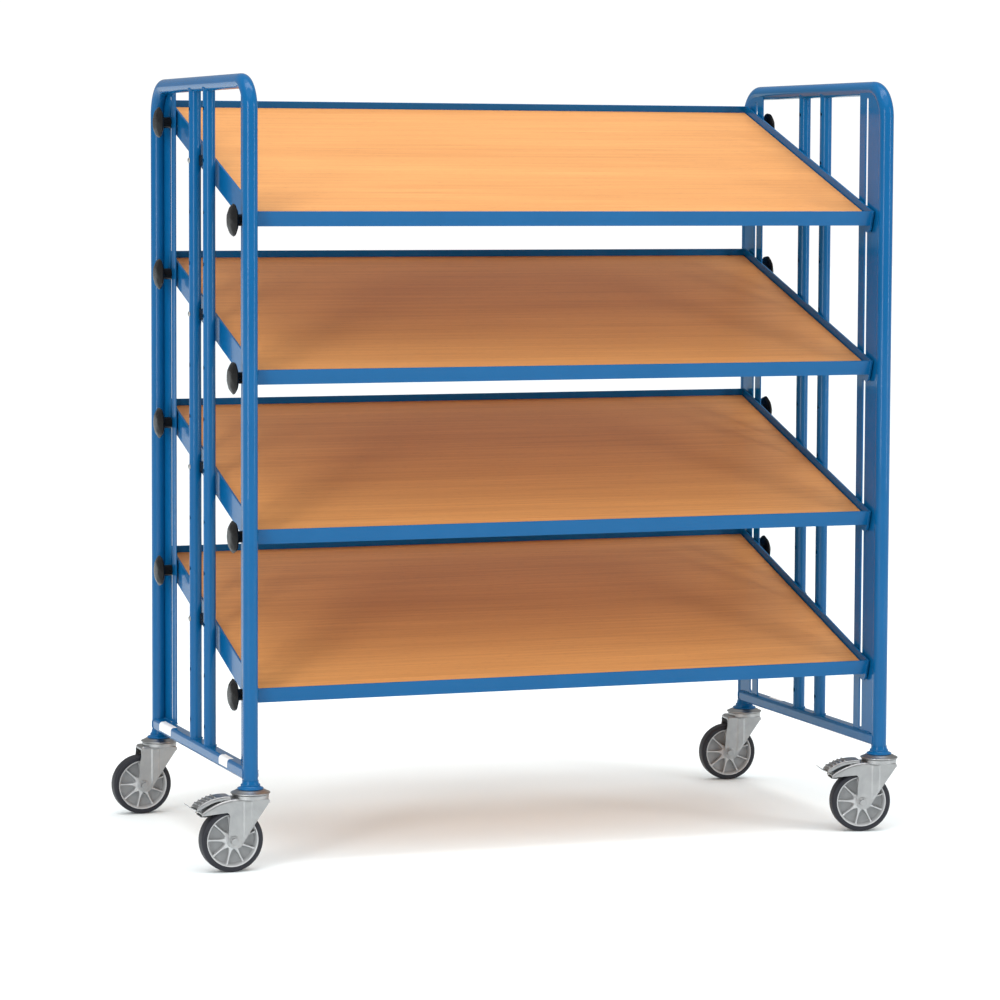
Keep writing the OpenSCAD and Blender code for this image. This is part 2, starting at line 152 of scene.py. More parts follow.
def make_world(seen, lighting, mirrored):
    """White to the camera, softer as light, and dimmer still where the paint mirrors it."""
    world = bpy.data.worlds.new("studio")
    bpy.context.scene.world = world
    world.use_nodes = True
    nodes, links = world.node_tree.nodes, world.node_tree.links
    nodes.clear()
    rays = nodes.new("ShaderNodeLightPath")
    skies = []
    for strength, colour in ((lighting, SKY_TINT), (mirrored, SKY_TINT), (seen, (1, 1, 1, 1))):
        sky = nodes.new("ShaderNodeBackground")
        sky.inputs["Color"].default_value = colour
        sky.inputs["Strength"].default_value = strength
        skies.append(sky)
    inner, outer = nodes.new("ShaderNodeMixShader"), nodes.new("ShaderNodeMixShader")
    out = nodes.new("ShaderNodeOutputWorld")
    links.new(rays.outputs["Is Glossy Ray"], inner.inputs[0])
    links.new(skies[0].outputs[0], inner.inputs[1])
    links.new(skies[1].outputs[0], inner.inputs[2])
    links.new(rays.outputs["Is Camera Ray"], outer.inputs[0])
    links.new(inner.outputs[0], outer.inputs[1])
    links.new(skies[2].outputs[0], outer.inputs[2])
    links.new(outer.outputs[0], out.inputs[0])


make_floor(size=80)
make_world(seen=1.05, lighting=0.98, mirrored=0.38)
print("floor and world made")

# %% Soft boxes
def soft_box(name, place, target, size, power):
    """A rectangular area light at place that faces target; size is (wide, tall) in metres."""
    data = bpy.data.lights.new(name, "AREA")
    data.shape = "RECTANGLE"
    data.size, data.size_y = size
    data.energy = power
    light = bpy.data.objects.new(name, data)
    away = Vector(place) - Vector(target)
    aim = away.to_track_quat("Z", "Y").to_matrix().to_4x4()
    light.matrix_world = Matrix.Translation(place) @ aim
    bpy.context.scene.collection.objects.link(light)


middle = (cad_low + cad_high) / 2
soft_box("box left", (-4.2, -3.6, 2.0), middle, (1.0, 3.4), 95)
soft_box("box right", (3.8, -3.8, 2.0), middle, (0.7, 3.4), 60)
soft_box("box above", (0, -0.6, 4.6), middle, (4.5, 1.2), 70)
sky = bpy.data.lights.new("sky panel", "SUN")
sky.energy = 1.15
sky.angle = math.radians(75)
panel = bpy.data.objects.new("sky panel", sky)
panel.rotation_euler = (math.radians(14), math.radians(-6), 0)
scene = bpy.context.scene
scene.collection.objects.link(panel)
scene.view_settings.view_transform = "Standard"
scene.view_settings.look = "None"

# %% [markdown]
# ## Shader maths as plain expressions
# A finish is a small calculation on the surface: noise, stretched and added, then fed to
# roughness or bump. Wiring it node by node buries the idea in link calls. The class below
# wraps one output socket, so that `0.3 + 0.1 * grain` adds its Math nodes by itself, and
# `node()` places any other kind of node.

# %% Wire
class Wire:
    """One output socket of a material's tree. Operators add Math nodes behind it."""

    def __init__(self, tree, socket):
        self.tree = tree
        self.socket = socket

    def node(self, kind, settings=None, sockets=None, out=0):
        """Adds a node: its settings first, then the values or wires of its sockets."""
        made = self.tree.nodes.new(kind)
        for key, value in (settings or {}).items():
            if key == "stops":
                ramp = made.color_ramp.elements
                while len(ramp) < len(value):
                    ramp.new(0.5)
                for element, (place, colour) in zip(ramp, value):
                    element.position = place
                    element.color = (*colour, 1)
            else:
                setattr(made, key, value)
        for key, value in (sockets or {}).items():
            if isinstance(value, Wire):
                self.tree.links.new(value.socket, made.inputs[key])
            else:
                made.inputs[key].default_value = value
        return Wire(self.tree, made.outputs[out])

    def maths(self, operation, first, second):
        return self.node("ShaderNodeMath", {"operation": operation}, {0: first, 1: second})

    def __add__(self, other):
        return self.maths("ADD", self, other)

    def __sub__(self, other):
        return self.maths("SUBTRACT", self, other)

    def __rsub__(self, other):
        return self.maths("SUBTRACT", other, self)

    def __mul__(self, other):
        return self.maths("MULTIPLY", self, other)

    __radd__ = __add__
    __rmul__ = __mul__


def new_finish(name, **constants):
    """A material with a Principled shader; returns it, its shader and its place on the piece."""
    material = bpy.data.materials.new(name)
    material.use_nodes = True
    tree = material.node_tree
    shader = tree.nodes["Principled BSDF"]
    for key, value in constants.items():
        shader.inputs[key.replace("_", " ").title().replace("Ior", "IOR")].default_value = value
    coordinates = tree.nodes.new("ShaderNodeTexCoord")
    return material, shader, Wire(tree, coordinates.outputs["Object"])


def feed(shader, **wires):
    """Links wires to the shader's sockets, named as base_color, roughness, normal and so on."""
    for key, wire in wires.items():
        wire.tree.links.new(wire.socket, shader.inputs[key.replace("_", " ").title()])


def noise(place, scale, detail=2.0, roughness=0.5, distortion=0.0):
    """Soft noise from 0 to 1; scale is in waves a metre."""
    return place.node("ShaderNodeTexNoise", None, {"Vector": place, "Scale": scale,
                      "Detail": detail, "Roughness": roughness, "Distortion": distortion})


def stretched(place, scale):
    """The place with each axis scaled, as for a grain that runs one way."""
    return place.node("ShaderNodeMapping", {"vector_type": "POINT"},
                      {"Vector": place, "Scale": scale})


def blend(factor, first, second):
    """A colour between two others, by a wire that runs from 0 to 1."""
    return factor.node("ShaderNodeMix", {"data_type": "RGBA", "clamp_factor": True},
                       {0: factor, 6: first, 7: second}, out=2)


def bump(height, depth, strength):
    """A Bump node for feed(normal=...); depth in metres is what a height of 1 stands for."""
    return height.node("ShaderNodeBump", None,
                       {"Height": height, "Distance": depth, "Strength": strength})


print("shader maths ready")

# %% [markdown]
# ## Blue powder coat
# Powder is baked on as one thick, glossy film. It levels a little like orange peel, never
# like glass. A plain blue with low roughness would look like plastic, so the film gets two
# layers of bump: fine peel, and long, faint waves that make a highlight waver along a tube.

# %% Powder coat
def powder_coat():
    material, shader, place = new_finish("blue powder coat", specular_ior_level=0.12)
    cloud = noise(place, 9, 3)
    peel = noise(place, 620, 2)
    wave = noise(place, 45, 2)
    feed(shader,
         base_color=blend(cloud, (0.001, 0.080, 0.218, 1), (0.003, 0.096, 0.255, 1)),
         roughness=0.16 + 0.08 * cloud,
         normal=bump(0.6 * peel + 2.0 * wave, 0.00006, 0.6))
    shader.inputs["Coat Weight"].default_value = 0.22
    shader.inputs["Coat Roughness"].default_value = 0.04
    return material


BLUE = powder_coat()
print("made", BLUE.name)

# %% [markdown]
# ## Beech decor
# The boards are chipboard under a printed beech foil. Beech has no bold figure: it has
# straight, close grain, faint bands a hand wide, and short dark flecks. Each of them is noise
# that a Mapping node squeezes across the grain and draws out along it.

# %% Beech
def beech_decor():
    material, shader, place = new_finish("beech decor", specular_ior_level=0.45)
    bands = noise(stretched(place, (0.35, 7, 7)), 1.6, 3, 0.55, 0.6)
    grain = noise(stretched(place, (2.2, 150, 150)), 1.0, 5, 0.62, 0.3)
    flecks = noise(stretched(place, (55, 520, 520)), 1.0, 2, 0.5)
    fleck = flecks.node("ShaderNodeValToRGB", {"stops": [(0.60, (0, 0, 0)), (0.70, (1, 1, 1))]},
                        {"Fac": flecks})
    fleck_mask = fleck.node("ShaderNodeRGBToBW", None, {"Color": fleck})
    tone = 0.35 * bands + 0.65 * grain
    contrast = tone.node("ShaderNodeMapRange", {"clamp": True},
                         {"Value": tone, "From Min": 0.34, "From Max": 0.66})
    wood = blend(contrast, (0.505, 0.212, 0.058, 1), (0.665, 0.306, 0.096, 1))
    feed(shader,
         base_color=blend(0.30 * fleck_mask, wood, (0.30, 0.125, 0.048, 1)),
         roughness=0.36 + 0.12 * grain,
         normal=bump(grain - 0.5 * fleck_mask, 0.00005, 0.5))
    return material


BEECH = beech_decor()
print("made", BEECH.name)

# %% [markdown]
# ## Black plastic
# The knobs and the pivot brackets are moulded from black polyamide. A spark-eroded mould
# leaves a fine grain, and hands polish it unevenly.

# %% Black plastic
def black_plastic():
    material, shader, place = new_finish("black polyamide", specular_ior_level=0.1)
    grain = noise(place, 1400, 2)
    wear = noise(place, 38, 3)
    feed(shader,
         base_color=blend(wear, (0.008, 0.008, 0.009, 1), (0.016, 0.0155, 0.015, 1)),
         roughness=0.19 + 0.16 * wear,
         normal=bump(grain, 0.00008, 0.6))
    return material


BLACK = black_plastic()
print("made", BLACK.name)

# %% [markdown]
# ## Zinc plate
# Pressed steel that has been zinc plated is bright, but it is not chrome. The sheet keeps its
# rolling marks under the plating, and the bath leaves cloudy patches, some bright and some
# dull.

# %% Zinc
def zinc_plate():
    material, shader, place = new_finish("zinc plate", metallic=1.0)
    cloud = noise(place, 30, 4, 0.6, 0.4)
    tint = noise(place, 11, 2)
    rolling = noise(stretched(place, (60, 60, 900)), 1.0, 2)
    grey = blend(cloud, (0.24, 0.245, 0.255, 1), (0.52, 0.52, 0.52, 1))
    feed(shader,
         base_color=blend(0.3 * tint, grey, (0.38, 0.38, 0.37, 1)),
         roughness=0.27 + 0.22 * cloud,
         normal=bump(0.7 * rolling + cloud, 0.00012, 0.5))
    return material


ZINC = zinc_plate()
print("made", ZINC.name)

# %% [markdown]
# ## Rim, tyre and label
# The rim is die cast and blasted. Its recessed web is drawn a darker grey than the ribs and the
# ring, as painted shade in the recess, and is also made rougher with a deeper blast. That
# difference follows the shape, so each rim carries it as a weight on its vertices. The tyre is
# soft dark rubber with a dry bloom, and the labels are plain white film.

# %% Rim
def cast_rim():
    material, shader, place = new_finish("cast rim", metallic=0.35)
    # Painted shade: a high recess weight, on the web between the ribs, makes the grey darker. The
    # same weight also makes the web rougher and its blast bump deeper.
    recess = place.node("ShaderNodeAttribute", {"attribute_name": "recess"}, None, out=2)
    blast = noise(place, 900, 3, 0.6)
    cloud = noise(place, 60, 3)
    grey = blend(recess, (0.50, 0.505, 0.51, 1), (0.27, 0.275, 0.28, 1))
    feed(shader,
         base_color=blend(0.25 * cloud, grey, (0.40, 0.41, 0.42, 1)),
         roughness=0.33 + 0.22 * recess + 0.08 * cloud,
         normal=bump(blast * (0.4 + 0.6 * recess), 0.00014, 0.6))
    return material


RIM = cast_rim()
print("made", RIM.name)

# %% Tyre
def tyre_rubber():
    material, shader, place = new_finish("tyre rubber", specular_ior_level=0.3)
    bloom = noise(place, 34, 4, 0.6)
    grain = noise(place, 700, 3)
    feed(shader,
         base_color=blend(bloom, (0.010, 0.011, 0.016, 1), (0.024, 0.024, 0.031, 1)),
         roughness=0.42 + 0.20 * bloom,
         normal=bump(grain + bloom, 0.00010, 0.5))
    return material


TYRE = tyre_rubber()
print("made", TYRE.name)

# %% Label
def label_film():
    material, shader, place = new_finish("label film", specular_ior_level=0.5)
    cloud = noise(place, 70, 3)
    feed(shader,
         base_color=blend(cloud, (0.74, 0.75, 0.77, 1), (0.86, 0.86, 0.86, 1)),
         roughness=0.30 + 0.15 * cloud)
    return material


LABEL = label_film()
print("made", LABEL.name)

# %% Finishes on the solids
def paint(thing, material):
    """Gives a mesh object one finish."""
    thing.data.materials.clear()
    thing.data.materials.append(material)


BLUE_NODES = ("hoop", "rails", "tubes", "sockets", "shelf_frame")
for name, node in frame["nodes"].items():
    if any(word in name for word in BLUE_NODES):
        paint(node, BLUE)
    elif name.startswith("shelf_board"):
        paint(node, BEECH)
    elif name.startswith("knob") or name == "pivot_brackets":
        paint(node, BLACK)
    elif name.startswith("tyre"):
        paint(node, TYRE)
    elif name.startswith("rim"):
        paint(node, RIM)
    else:
        paint(node, ZINC)
print("finishes on", len(frame["nodes"]), "solids")

# %% [markdown]
# ## Small tools for making meshes
# Nearly everything on a cart is turned, cut from sheet or bent from tube. Three helpers cover
# that: `lathe` turns a profile, `prism` gives an outline a thickness, and `rounded` puts true
# arcs in an outline's corners. A mesh is gathered in a bmesh first, and `piece` then turns it
# into an object with its normals outward, softened edges and a finish. Each finished object
# stays at the origin with its place in its vertices.

# %% Mesh tools
def lathe(bm, profile, steps, place=Matrix(), closed=False):
    """Turns (radius, height) points about Z, with one pole vertex for a radius of 0."""
    rings = []
    for radius, height in profile:
        count = 1 if radius < 1e-9 else steps
        rings.append([bm.verts.new(place @ Vector((radius * math.cos(math.tau * i / steps),
                                                   radius * math.sin(math.tau * i / steps),
                                                   height))) for i in range(count)])
    for low, high in zip(rings, rings[1:] + (rings[:1] if closed else [])):
        for i in range(steps):
            corners = [low[i % len(low)], low[(i + 1) % len(low)],
                       high[(i + 1) % len(high)], high[i % len(high)]]
            bm.faces.new(list(dict.fromkeys(corners)))
    return [vertex for ring in rings for vertex in ring]


def prism(bm, outline, low, high, place=Matrix()):
    """Gives a flat outline of (x, y) points a thickness from low to high along Z."""
    walls = [[bm.verts.new(place @ Vector((x, y, z))) for x, y in outline] for z in (low, high)]
    bm.faces.new(walls[0][::-1])
    bm.faces.new(walls[1])
    for i in range(len(outline)):
        j = (i + 1) % len(outline)
        bm.faces.new((walls[0][i], walls[0][j], walls[1][j], walls[1][i]))


def loft(bm, rings):
    """Joins closed rings of points, all of the same length, into one skin with flat ends."""
    made = [[bm.verts.new(point) for point in ring] for ring in rings]
    for low, high in zip(made, made[1:]):
        for i in range(len(low)):
            j = (i + 1) % len(low)
            bm.faces.new((low[i], low[j], high[j], high[i]))
    bm.faces.new(made[0][::-1])
    bm.faces.new(made[-1])


def rounded(corners, steps=6):
    """An outline from (x, y, radius) corners, each with a true arc of that radius."""
    outline = []
    for i, (x, y, radius) in enumerate(corners):
        here = Vector((x, y))
        before = Vector(corners[i - 1][:2]) - here
        after = Vector(corners[(i + 1) % len(corners)][:2]) - here
        opening = before.angle(after)
        if radius <= 0 or opening > math.pi - 0.01:
            outline.append((x, y))
            continue
        reach = min(radius / math.tan(opening / 2), 0.49 * before.length, 0.49 * after.length)
        radius = reach * math.tan(opening / 2)
        centre = here + (before.normalized() + after.normalized()).normalized() * (
            radius / math.sin(opening / 2))
        start = here + before.normalized() * reach - centre
        turn = start.angle_signed(here + after.normalized() * reach - centre)
        for step in range(steps + 1):
            angle = -turn * step / steps
            outline.append(tuple(centre + Matrix.Rotation(angle, 2) @ start))
    return outline


def mm(points):
    """Points in millimetres as points in metres."""
    return [tuple(value * MM for value in point) for point in points]


def piece(name, bm, material, body, replaces=(), soften=0.0, sharp=38):
    """Makes the object: outward normals, edges softened by soften metres, finish and body."""
    bmesh.ops.remove_doubles(bm, verts=bm.verts, dist=1e-6)
    bmesh.ops.recalc_face_normals(bm, faces=bm.faces)
    mesh = bpy.data.meshes.new(name)
    bm.to_mesh(mesh)
    bm.free()
    thing = bpy.data.objects.new(name, mesh)
    bpy.context.scene.collection.objects.link(thing)
    mesh.polygons.foreach_set("use_smooth", [True] * len(mesh.polygons))
    if soften:
        bevel = thing.modifiers.new("soft edges", "BEVEL")
        bevel.width = soften
        bevel.segments = 2
        bevel.limit_method = "ANGLE"
        bevel.angle_limit = math.radians(sharp)
        flat = thing.modifiers.new("flat faces", "WEIGHTED_NORMAL")
        flat.weight = 100
        bake(thing)
    else:
        mesh.set_sharp_from_angle(angle=math.radians(sharp))
    settle(thing, material, body, replaces)
    return thing


def bake(thing):
    """Replaces an object's mesh with the evaluated one and drops its modifiers."""
    bpy.context.view_layer.update()
    evaluated = thing.evaluated_get(bpy.context.evaluated_depsgraph_get())
    mesh = bpy.data.meshes.new_from_object(evaluated)
    thing.modifiers.clear()
    thing.data = mesh


def settle(thing, material, body, replaces=()):
    """Finish, body and the solids that the piece stands for."""
    paint(thing, material)
    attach(thing, body)
    if replaces:
        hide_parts(*replaces)


def body_of(node):
    """The body that a solid belongs to."""
    return frame["nodes"][node]["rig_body"]


print("mesh tools ready")

# %% [markdown]
# ## Sheet and board with softened edges
# A real edge is never perfectly sharp: powder coat and sawn board both round it a little, and
# that thin round catches the light and shows where one face ends. The solids of the rails,
# shelf frames, boards and brackets have the right shape already, so each is copied, its loose
# triangles are merged into whole faces, and the copy gets a small bevel. Its normals are then
# weighted by face area, so that the wide faces stay flat and only the bevel seems to bend.

# %% Softened copies
def softened_copy(node, material, width):
    """A bevelled copy of a solid, which stands in its place."""
    bm = bmesh.new()
    bm.from_mesh(frame["nodes"][node].data)
    bmesh.ops.remove_doubles(bm, verts=bm.verts, dist=2e-6)
    bmesh.ops.dissolve_limit(bm, angle_limit=math.radians(0.6), verts=bm.verts, edges=bm.edges)
    return piece(node + "_soft", bm, material, body_of(node), [node], width, 28)


SHELVES = (1, 2, 3, 4)
softened_copy("slotted_rails", BLUE, 0.4 * MM)
for k in SHELVES:
    softened_copy(f"shelf_frame_{k}", BLUE, 0.7 * MM)
    softened_copy(f"shelf_board_{k}", BEECH, 0.5 * MM)
softened_copy("pivot_brackets", BLACK, 0.6 * MM)

# %% [markdown]
# ## Bent tube
# Each end frame starts as one tube, bent twice into a hoop. A tube is the plainest case of a
# shape that follows a path: four corner points, a fillet at the two bends, and a circle swept
# along. Geometry Nodes say exactly that, and the bend stays editable as one number.
#
# The next helper makes any node tree with named inputs and hands back the baked result, as a
# plain mesh.

# %% Geometry Nodes helper
def node_tree(name, inputs):
    """A geometry tree with a Geometry input, the named inputs and a Geometry output."""
    tree = bpy.data.node_groups.new(name, "GeometryNodeTree")
    tree.interface.new_socket("Geometry", in_out="INPUT", socket_type="NodeSocketGeometry")
    for label, kind in inputs.items():
        tree.interface.new_socket(label, in_out="INPUT", socket_type="NodeSocket" + kind)
    tree.interface.new_socket("Geometry", in_out="OUTPUT", socket_type="NodeSocketGeometry")
    given = tree.nodes.new("NodeGroupInput")
    result = tree.nodes.new("NodeGroupOutput")

    def add(kind, settings=None, **sockets):
        made = tree.nodes.new("GeometryNode" + kind if not kind.startswith("Function")
                              and not kind.startswith("Shader") else kind)
        for key, value in (settings or {}).items():
            setattr(made, key, value)
        for key, value in sockets.items():
            socket = made.inputs[key.replace("_", " ")] if not key[1:].isdigit() \
                else made.inputs[int(key[1:])]
            if hasattr(value, "is_output"):
                tree.links.new(value, socket)
            else:
                socket.default_value = value
        return made

    return tree, given, result, add


def grown(name, mesh, tree, values, material):
    """Runs a tree on a mesh with the named values and returns the baked object."""
    thing = bpy.data.objects.new(name, mesh)
    bpy.context.scene.collection.objects.link(thing)
    modifier = thing.modifiers.new(tree.name, "NODES")
    modifier.node_group = tree
    for item in tree.interface.items_tree:
        if item.in_out == "INPUT" and item.name in values:
            modifier[item.identifier] = values[item.name]
        elif item.in_out == "INPUT" and item.name == "Material":
            modifier[item.identifier] = material
    bake(thing)
    return thing


def path_mesh(name, paths):
    """Loose edges along lists of points, which a tree can turn into curves."""
    points, edges = [], []
    for path in paths:
        first = len(points)
        points += [tuple(p) for p in path]
        edges += [(first + i, first + i + 1) for i in range(len(path) - 1)]
    mesh = bpy.data.meshes.new(name)
    mesh.from_pydata(points, edges, [])
    return mesh


def bent_tube_tree():
    """Fillets the corners of a path and sweeps a circle along it."""
    tree, given, result, add = node_tree("bent tube", {
        "Tube Radius": "Float", "Bend Radius": "Float", "Steps": "Int", "Material": "Material"})
    line = add("MeshToCurve", Mesh=given.outputs["Geometry"])
    bend = add("FilletCurve", Curve=line.outputs[0], Radius=given.outputs["Bend Radius"])
    if hasattr(bend, "mode"):
        bend.mode = "POLY"
    bend.inputs["Count"].default_value = 20
    ring = add("CurvePrimitiveCircle", Resolution=given.outputs["Steps"],
               Radius=given.outputs["Tube Radius"])
    tube = add("CurveToMesh", Curve=bend.outputs[0], Profile_Curve=ring.outputs["Curve"],
               Fill_Caps=True)
    real = add("RealizeInstances", Geometry=tube.outputs[0])
    finish = add("SetMaterial", Geometry=real.outputs[0], Material=given.outputs["Material"])
    tree.links.new(finish.outputs[0], result.inputs[0])
    return tree


# %% Hoops
TUBE_TREE = bent_tube_tree()
BEND = 60 * MM
for side in ("left", "right"):
    node = side + "_hoop"
    low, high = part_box(node)
    tube_r = (high.x - low.x) / 2
    x = (low.x + high.x) / 2
    top = high.z - tube_r
    near, far = low.y + tube_r, high.y - tube_r
    corners = [(x, near, low.z), (x, near, top), (x, far, top), (x, far, low.z)]
    hoop = grown(side + "_hoop_tube", path_mesh("hoop path", [corners]), TUBE_TREE,
                 {"Tube Radius": tube_r, "Bend Radius": BEND, "Steps": 40}, BLUE)
    hoop.data.polygons.foreach_set("use_smooth", [True] * len(hoop.data.polygons))
    hoop.data.set_sharp_from_angle(angle=math.radians(40))
    settle(hoop, BLUE, "frames", [node])
    print(hoop.name, len(hoop.data.polygons), "faces")
POST_Y = (far - near) / 2
BAR_Z = top
TUBE_R = tube_r
FRAME_X = {"left": (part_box("left_hoop")[0].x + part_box("left_hoop")[1].x) / 2,
           "right": (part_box("right_hoop")[0].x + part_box("right_hoop")[1].x) / 2}

# %% [markdown]
# ## Clamp knobs
# Sixteen mushroom knobs clamp the shelves. Each is a moulded disc on a narrow neck, crowned
# on top, with seven shallow lobes for the fingers and a hollow behind every lobe. A lathe
# alone would give a plain button, so the turned points are pushed afterwards: the rim in and
# out by a cosine, and the crown down in seven soft hollows.

# %% Knob
def knob_mesh(bm, place, radius, neck, length, lobes=7):
    """One knob; its neck starts at the place's origin and it points along the place's Z."""
    rim_z = 0.73 * length
    profile = [(0, 0), (neck - 0.8 * MM, 0), (neck, 0.8 * MM), (neck, 0.46 * length),
               (neck + 1.2 * MM, 0.53 * length), (neck + 3.5 * MM, 0.57 * length),
               (radius - 7 * MM, 0.60 * length), (radius - 2.6 * MM, rim_z - 2.9 * MM),
               (radius - 0.7 * MM, rim_z - 1.4 * MM), (radius, rim_z + 0.6 * MM)]
    crown = length - rim_z
    for share in (0.985, 0.94, 0.87, 0.78, 0.68, 0.56, 0.42, 0.26, 0.12, 0):
        profile.append((radius * share, rim_z + crown * (1 - share ** 4.5)))
    for vertex in lathe(bm, profile, lobes * 12):
        around = math.atan2(vertex.co.y, vertex.co.x)
        out = math.hypot(vertex.co.x, vertex.co.y)
        grip = min(1, max(0, (out / radius - 0.5) / 0.4))
        wave = 0.5 - 0.5 * math.cos(lobes * around)
        vertex.co.x *= 1 - 0.045 * grip * wave
        vertex.co.y *= 1 - 0.045 * grip * wave
        if vertex.co.z > rim_z + 1.0 * MM:
            hollow = math.exp(-((out / radius - 0.74) / 0.13) ** 2)
            vertex.co.z -= 1.1 * MM * hollow * (1 - wave)
        vertex.co = place @ vertex.co


OUTWARD = {"left": Matrix.Rotation(-math.pi / 2, 4, "Y"),
           "right": Matrix.Rotation(math.pi / 2, 4, "Y")}
for k in SHELVES:
    for turn, (side, end) in enumerate((s, e) for s in OUTWARD for e in ("front", "rear")):
        node = f"knob_{k}_{side}_{end}"
        low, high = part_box(node)
        start = Vector((high.x if side == "left" else low.x, (low.y + high.y) / 2,
                        (low.z + high.z) / 2))
        spin = Matrix.Rotation(0.7 * k + 1.9 * turn, 4, "Z")
        bm = bmesh.new()
        knob_mesh(bm, Matrix.Translation(start) @ OUTWARD[side] @ spin,
                  (high.z - low.z) / 2, 11.5 * MM, high.x - low.x)
        piece(node + "_moulded", bm, BLACK, body_of(node), [node], sharp=50)

# %% [markdown]
# ## Weld beads
# Every joint of the frame is welded, and the powder coat only softens the bead. A bead is a
# row of overlapping drops along the joint line, each a little different. Drawing drops by hand
# would be hopeless, and a bump map would leave the outline straight, so the joint lines are
# laid out as loose edges and a small node tree sets the drops along them.

# %% Weld tree
def weld_tree():
    """Sets drops of slightly different sizes along a path."""
    tree, given, result, add = node_tree("weld bead", {
        "Spacing": "Float", "Drop Radius": "Float", "Seed": "Int", "Material": "Material"})
    line = add("MeshToCurve", Mesh=given.outputs["Geometry"])
    points = add("CurveToPoints", {"mode": "LENGTH"}, Curve=line.outputs[0],
                 Length=given.outputs["Spacing"])
    drop = add("MeshIcoSphere", Subdivisions=2)
    size = add("FunctionNodeRandomValue", {"data_type": "FLOAT"}, _2=0.82, _3=1.12,
               Seed=given.outputs["Seed"])
    scaled = tree.nodes.new("ShaderNodeMath")
    scaled.operation = "MULTIPLY"
    tree.links.new(size.outputs[1], scaled.inputs[0])
    tree.links.new(given.outputs["Drop Radius"], scaled.inputs[1])
    drops = add("InstanceOnPoints", Points=points.outputs["Points"], Instance=drop.outputs[0],
                Rotation=points.outputs["Rotation"], Scale=scaled.outputs[0])
    real = add("RealizeInstances", Geometry=drops.outputs[0])
    smooth = add("SetShadeSmooth", Geometry=real.outputs[0])
    finish = add("SetMaterial", Geometry=smooth.outputs[0], Material=given.outputs["Material"])
    tree.links.new(finish.outputs[0], result.inputs[0])
    return tree


WELD_TREE = weld_tree()


def weld(name, paths, body, radius=1.7 * MM, seed=3):
    """Beads along paths, as one piece that rides on a body."""
    thing = grown(name, path_mesh(name, paths), WELD_TREE,
                  {"Spacing": 1.1 * radius, "Drop Radius": radius, "Seed": seed}, BLUE)
    settle(thing, BLUE, body)
    print(name, len(paths), "beads,", len(thing.data.polygons), "faces")


def ring(x, y, radius, height, steps=28):
    """A closed loop of points about a tube; height is a number or depends on the point's x."""
    loop = []
    for i in range(steps + 1):
        angle = math.tau * i / steps
        dx = radius * math.cos(angle)
        loop.append((x + dx, y + radius * math.sin(angle),
                     height(dx) if callable(height) else height))
    return loop


# %% Beads on the end frames
RAIL_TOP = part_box("bottom_rails")[1].z
RAIL_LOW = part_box("bottom_rails")[0].z
MID_R = 12.5 * MM
MID_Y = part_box("middle_tubes")[1].y - MID_R
RAIL_CORNER = 7 * MM
PLATE_X = 11.5 * MM
WIDE_STRIP = (292 * MM, 326 * MM)
NARROW_STRIP = (248 * MM, 272 * MM)
frame_beads = []
for side, x in FRAME_X.items():
    inward = 1 if side == "left" else -1
    plate_x = x + inward * PLATE_X
    for end in (-1, 1):
        y = end * MID_Y
        frame_beads.append(ring(x, y, MID_R + 0.4 * MM, RAIL_TOP + 0.3 * MM))
        frame_beads.append(ring(x, y, MID_R + 0.2 * MM, lambda dx: BAR_Z - 0.4 * MM
                           - math.sqrt(max(TUBE_R ** 2 - dx ** 2, 0))))
        post = end * POST_Y
        frame_beads.append(ring(x, post, 17.6 * MM, 168.6 * MM))
        tall = (RAIL_TOP - RAIL_LOW) / 2
        outline = rounded([(-TUBE_R, -tall, RAIL_CORNER), (TUBE_R, -tall, RAIL_CORNER),
                           (TUBE_R, tall, RAIL_CORNER), (-TUBE_R, tall, RAIL_CORNER)])
        frame_beads.append([(x + dx, post - end * (math.sqrt(max(TUBE_R ** 2 - dx ** 2, 0))
                             + 0.3 * MM), RAIL_LOW + tall + dz)
                            for dx, dz in outline + outline[:1]])
        for first, last in (WIDE_STRIP, NARROW_STRIP):
            for face in (-1.6 * MM, 1.6 * MM):
                frame_beads.append([(plate_x + face, end * first, RAIL_TOP + 0.4 * MM),
                                    (plate_x + face, end * last, RAIL_TOP + 0.4 * MM)])
        under = BAR_Z - math.sqrt(TUBE_R ** 2 - PLATE_X ** 2)
        frame_beads.append([(plate_x - inward * 1.8 * MM, end * y_edge, under)
                            for y_edge in NARROW_STRIP])
weld("frame_welds", frame_beads, "frames")

# %% Beads on the shelf frames
def joint(name):
    """A joint's row in the record."""
    return next(row for row in frame["joints"] if row["name"] == name)


def shelf_place(k):
    """The shelf's own frame: X along its pivot, Y up the board, Z square to it."""
    row = joint(f"shelf_{k}_tilt")
    return Matrix.Translation(row["pos_m"]) @ Matrix.Rotation(
        math.radians(-row["range_deg"][0]), 4, "X")


SHELF_HALF = (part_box("shelf_board_1")[1].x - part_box("shelf_board_1")[0].x) / 2 + 2.5 * MM
SHELF_DEEP = 343 * MM
for k in SHELVES:
    place = shelf_place(k)
    beads = []
    for side in (-1, 1):
        for end in (-1, 1):
            x = side * SHELF_HALF
            face = end * (SHELF_DEEP + 0.1 * MM)
            lip = end * (SHELF_DEEP - 3.6 * MM)
            beads.append([(x, face, -15 * MM), (x, face, 13 * MM)])
            beads.append([(x - side * 0.6 * MM, lip, 1.5 * MM),
                          (x - side * 0.6 * MM, lip, 13.5 * MM)])
    weld(f"shelf_{k}_welds", [[place @ Vector(p) for p in bead] for bead in beads],
         f"shelf_{k}", 1.5 * MM, seed=10 + k)

# %% [markdown]
# ## Rail labels
# Three small white labels are wrapped over the edge of the bottom rails. A flat card would
# stand off the rounded corner, so each follows the rail's own section, a fifth of a
# millimetre above it. They are left blank.

